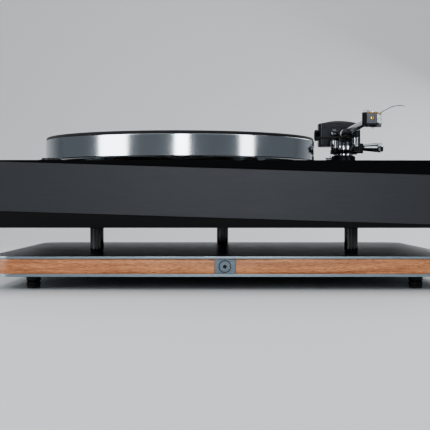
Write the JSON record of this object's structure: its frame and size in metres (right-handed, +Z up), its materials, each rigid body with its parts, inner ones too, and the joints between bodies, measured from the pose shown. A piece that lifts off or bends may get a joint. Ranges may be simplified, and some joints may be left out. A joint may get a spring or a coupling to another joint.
{
  "type": "turntable record player",
  "caption": "Two-tier belt-drive record player with a thick metal platter, slanted fascia, wood-banded base on pillars and a parked tonearm.",
  "frame": {"origin": "on the surface it stands on, under the middle of the upper plinth", "axes": "+Z up, +X to the right as the user faces it, +Y towards the sockets at the back"},
  "size_m": [0.49, 0.4, 0.1951],
  "materials": {
    "rubber_black": "matt moulded rubber",
    "foot_black": "black anodised, turned",
    "plate_metal": "satin, fine brushed",
    "wood_frame": "oiled reddish hardwood",
    "core_board": "raw fibreboard",
    "badge_metal": "brushed",
    "screw_steel": "zinc plated",
    "pillar_black": "gloss black",
    "lacquer_black": "black lacquer on fibreboard",
    "fascia_grey": "graphite anodised, satin",
    "cover_black": "black powder coat",
    "armboard_black": "black anodised, satin",
    "moulded_black": "moulded",
    "gold_plated": "gold plated",
    "ground_brass": "nickel plated brass",
    "lead_jacket": "matt",
    "circuit_board": "solder mask",
    "switch_plastic": "moulded",
    "mount_rubber": "matt",
    "motor_steel": "zinc plated",
    "shaft_steel": "ground and polished",
    "pulley_brass": "turned",
    "belt_rubber": "ground rubber",
    "turned_aluminium": "turned",
    "bronze": "sintered bronze",
    "sub_platter_black": "turned",
    "platter_aluminium": "turned and polished",
    "mat_black": "matt",
    "arm_black": "black anodised",
    "arm_silver": "polished",
    "yoke_grey": "dark anodised",
    "tube_metal": "polished, dark tinted",
    "cartridge_grey": "satin anodised",
    "stylus_plastic": "moulded",
    "cantilever_metal": "drawn tube",
    "weight_grey": "satin anodised"
  },
  "bodies": {
    "plinth": {"foot_pads": "rubber_black", "feet": "foot_black", "base_bottom_plate": "plate_metal", "wood_frame": "wood_frame", "base_core": "core_board", "base_top_plate": "plate_metal", "badge": "badge_metal", "case_screws": "screw_steel", "pillars": "pillar_black", "pillar_washers": "rubber_black", "pillar_studs": "screw_steel", "plinth_body": "lacquer_black", "front_fascia": "fascia_grey", "bottom_cover": "cover_black", "armboard": "armboard_black", "armboard_screws": "screw_steel", "socket_panel": "cover_black", "power_inlet": "moulded_black", "signal_sockets": "gold_plated", "ground_terminal": "ground_brass", "inner_leads": "lead_jacket", "control_board": "circuit_board", "switch_block": "switch_plastic", "button_bezel": "moulded_black", "motor_mount": "mount_rubber", "motor_can": "motor_steel", "drive_belt": "belt_rubber", "bearing_housing": "turned_aluminium", "bearing_bushes": "bronze", "thrust_ball": "shaft_steel", "bearing_cap": "turned_aluminium", "arm_collar": "arm_black", "collar_screw": "arm_silver"},
    "button": {"power_button": "moulded_black"},
    "rotor": {"motor_shaft": "shaft_steel", "motor_pulley": "pulley_brass"},
    "platter": {"spindle_shaft": "shaft_steel", "sub_platter": "sub_platter_black", "platter": "platter_aluminium", "platter_mat": "mat_black"},
    "arm_column": {"arm_pillar": "arm_silver", "lift_bracket": "arm_black", "arm_rest": "arm_black"},
    "lift": {"lift_rail": "arm_black"},
    "lever": {"cue_lever": "arm_silver"},
    "bias": {"bias_dial": "arm_black"},
    "swivel": {"yoke": "yoke_grey", "pivot_screws": "screw_steel"},
    "arm": {"arm_hub": "arm_black", "arm_tube": "tube_metal", "headshell": "arm_black", "gold_plate": "gold_plated", "headshell_screws": "screw_steel", "cartridge": "cartridge_grey", "stylus_holder": "stylus_plastic", "cantilever": "cantilever_metal", "finger_lift": "arm_silver", "weight_shaft": "arm_silver"},
    "weight": {"counterweight": "weight_grey"},
    "weight_lock": {"weight_knob": "arm_black"}
  },
  "joints": [
    {"name": "platter_spin", "type": "hinge", "parent": "plinth", "child": "platter", "pos_m": [-0.05, -0.02, 0.15], "axis": [0, 0, -1], "continuous": true},
    {"name": "motor_spin", "type": "hinge", "parent": "plinth", "child": "rotor", "pos_m": [-0.12425, 0.05425, 0.15], "axis": [0, 0, -1], "continuous": true},
    {"name": "power_press", "type": "slide", "parent": "plinth", "child": "button", "axis": [0, 0, -1], "range_m": [0, 0.002], "stiffness_N_per_m": 300, "springref_m": -0.001},
    {"name": "arm_height", "type": "slide", "parent": "plinth", "child": "arm_column", "axis": [0, 0, 1], "range_m": [0, 0.006]},
    {"name": "arm_swing", "type": "hinge", "parent": "arm_column", "child": "swivel", "pos_m": [0.15178, 0.07495, 0.16], "axis": [0, 0, -1], "range_deg": [0, 50]},
    {"name": "arm_tilt", "type": "hinge", "parent": "swivel", "child": "arm", "pos_m": [0.15178, 0.07495, 0.1745], "axis": [-1, 0, 0], "range_deg": [0, 3]},
    {"name": "lift_rise", "type": "slide", "parent": "arm_column", "child": "lift", "axis": [0, 0, 1], "range_m": [0, 0.0025]},
    {"name": "cue_lever_turn", "type": "hinge", "parent": "arm_column", "child": "lever", "pos_m": [0.18178, 0.06295, 0.1571], "axis": [-1, 0, 0], "range_deg": [0, 62]},
    {"name": "bias_dial_turn", "type": "hinge", "parent": "arm_column", "child": "bias", "pos_m": [0.16678, 0.09395, 0.158], "axis": [0, 0, -1], "range_deg": [0, 270]},
    {"name": "weight_slide", "type": "slide", "parent": "arm", "child": "weight", "axis": [0, 1, 0], "range_m": [-0.004, 0.006]},
    {"name": "weight_knob_turn", "type": "hinge", "parent": "weight", "child": "weight_lock", "pos_m": [0.12178, 0.12195, 0.1761], "axis": [-1, 0, 0], "range_deg": [0, 180]}
  ],
  "couplings": [
    {"joint": "motor_spin", "follows": "platter_spin", "ratio": 7.4987},
    {"joint": "lift_rise", "follows": "arm_tilt", "m_per_rad": 0.045},
    {"joint": "cue_lever_turn", "follows": "arm_tilt", "ratio": 20}
  ]
}
